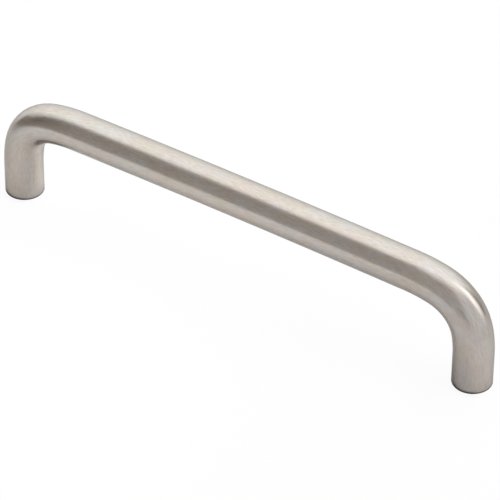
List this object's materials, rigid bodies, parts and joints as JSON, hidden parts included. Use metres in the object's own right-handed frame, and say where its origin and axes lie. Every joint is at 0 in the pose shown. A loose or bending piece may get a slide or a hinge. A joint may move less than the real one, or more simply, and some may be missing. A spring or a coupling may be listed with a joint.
{
  "type": "d-handle",
  "caption": "Bent round bar pull handle for a drawer or cupboard door, satin steel, with a faintly crowned grip, eased bends and flat feet tapped from below.",
  "frame": {"origin": "on the mounting plane, midway between the two feet", "axes": "+X along the grip from one foot to the other, +Y across it, +Z away from the drawer or door front, towards the grip"},
  "size_m": [0.172, 0.012, 0.037],
  "materials": {
    "satin_steel": "satin, linished along the bar"
  },
  "bodies": {
    "root": {"pull_bar": "satin_steel"}
  },
  "joints": []
}
